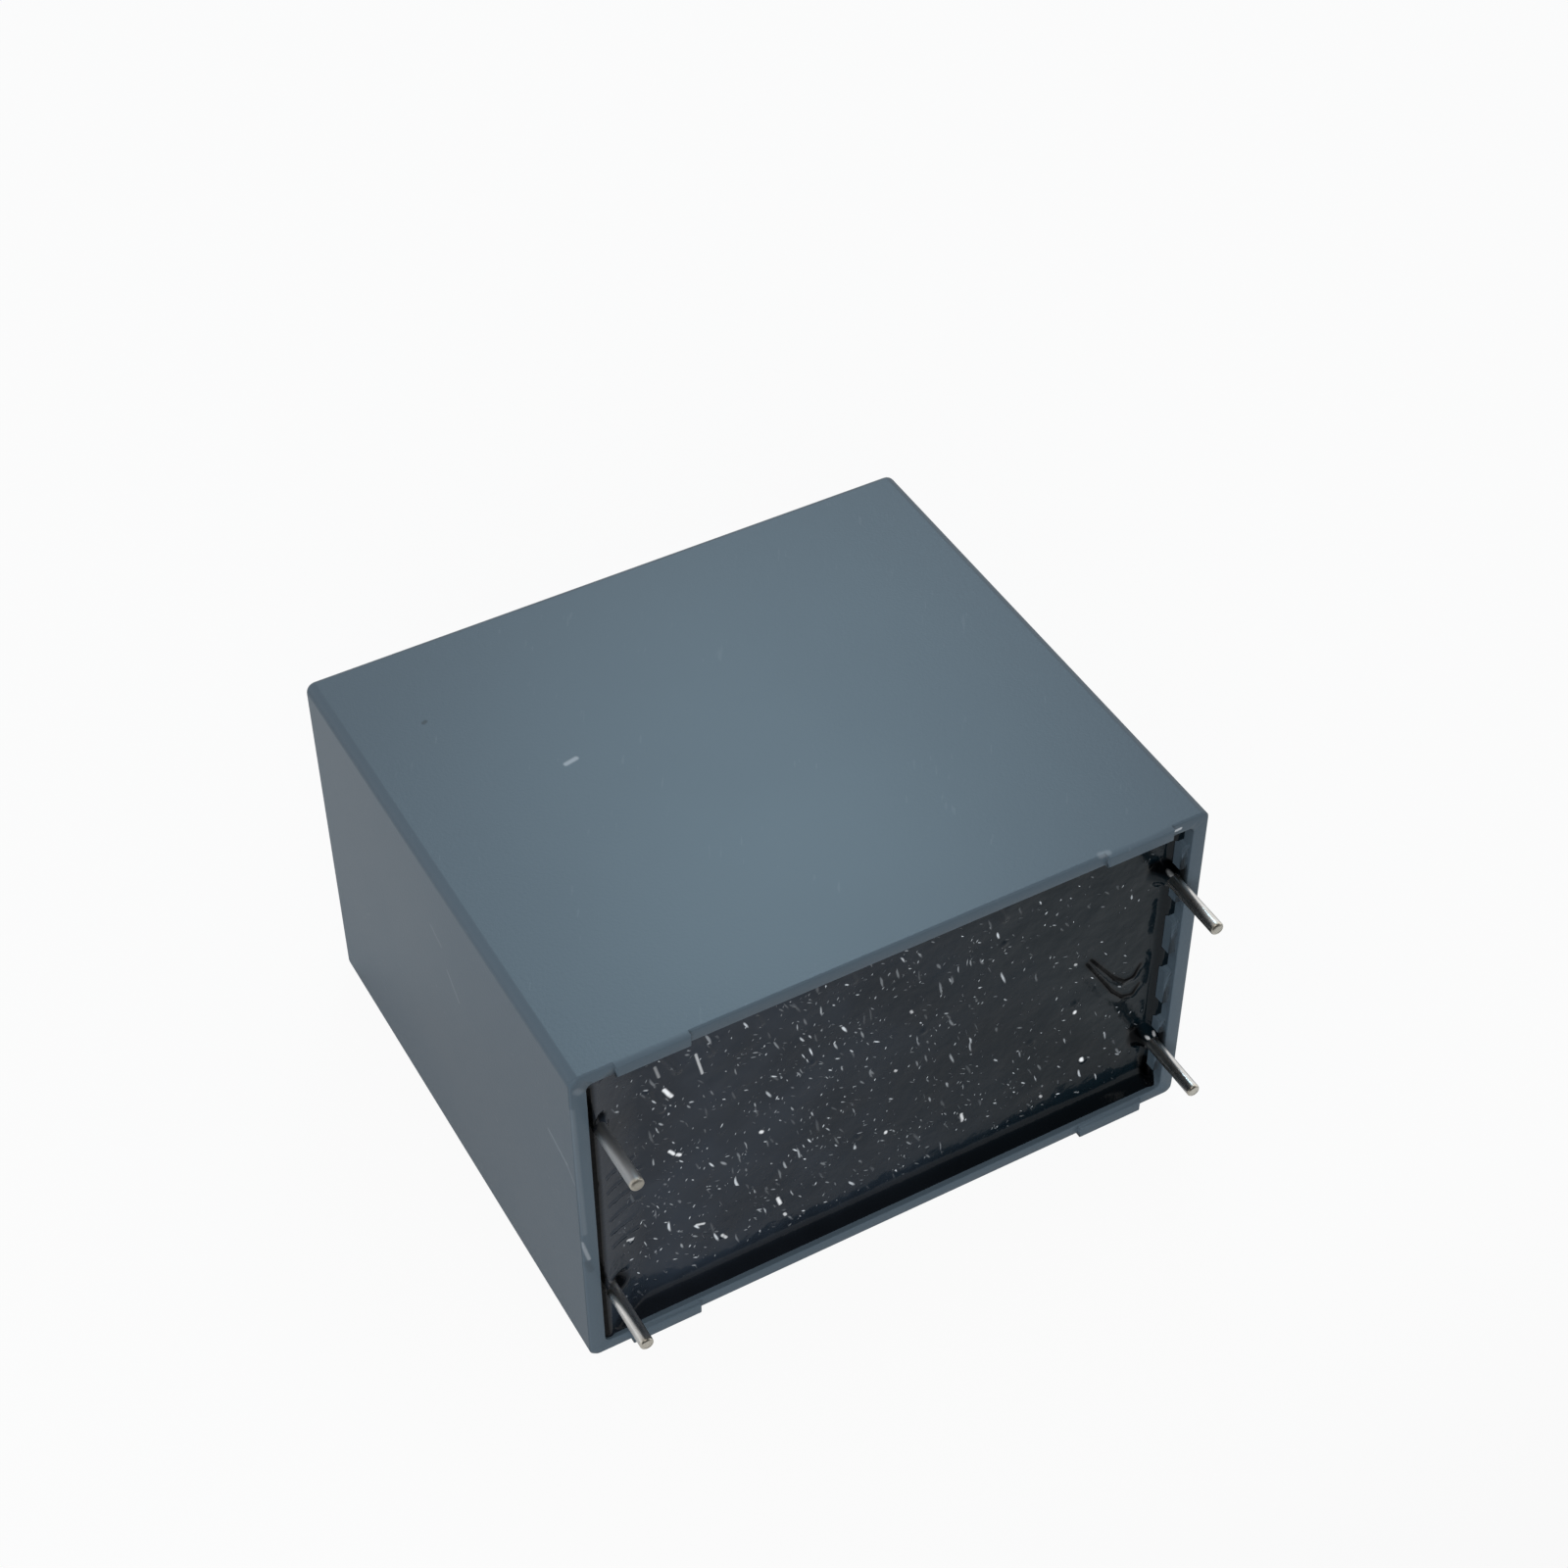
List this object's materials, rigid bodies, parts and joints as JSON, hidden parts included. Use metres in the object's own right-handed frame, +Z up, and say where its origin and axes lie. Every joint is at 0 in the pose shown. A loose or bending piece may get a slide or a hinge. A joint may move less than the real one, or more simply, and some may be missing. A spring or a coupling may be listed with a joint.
{
  "type": "box film capacitor",
  "caption": "Rectangular box film capacitor with round wire leads, a resin-potted open end, ribbed end walls and stand-off feet, lying on a broad side.",
  "frame": {"origin": "middle of the broad side that the capacitor lies on", "axes": "+X along the case, +Y from the leads to the closed end, +Z up through the thickness of the case"},
  "size_m": [0.0576, 0.0558, 0.035],
  "materials": {
    "case_plastic": "fine satin moulded surface",
    "potting_resin": "gloss, with small bumps",
    "tinned_wire": "bright tin",
    "metallised_film": "silvery film",
    "plain_film": "clear film",
    "sprayed_metal": "rough sprayed zinc",
    "solder": "satin solder"
  },
  "bodies": {
    "root": {"case": "case_plastic", "resin_fill": "potting_resin", "lead_upper_right": "tinned_wire", "lead_lower_right": "tinned_wire", "lead_upper_left": "tinned_wire", "lead_lower_left": "tinned_wire", "film_winding_upper": "metallised_film", "film_winding_lower": "metallised_film", "outer_wrap_upper": "plain_film", "outer_wrap_lower": "plain_film", "end_spray_upper_right": "sprayed_metal", "end_spray_upper_left": "sprayed_metal", "end_spray_lower_right": "sprayed_metal", "end_spray_lower_left": "sprayed_metal", "solder_upper_right": "solder", "solder_lower_right": "solder", "solder_upper_left": "solder", "solder_lower_left": "solder"}
  },
  "joints": []
}
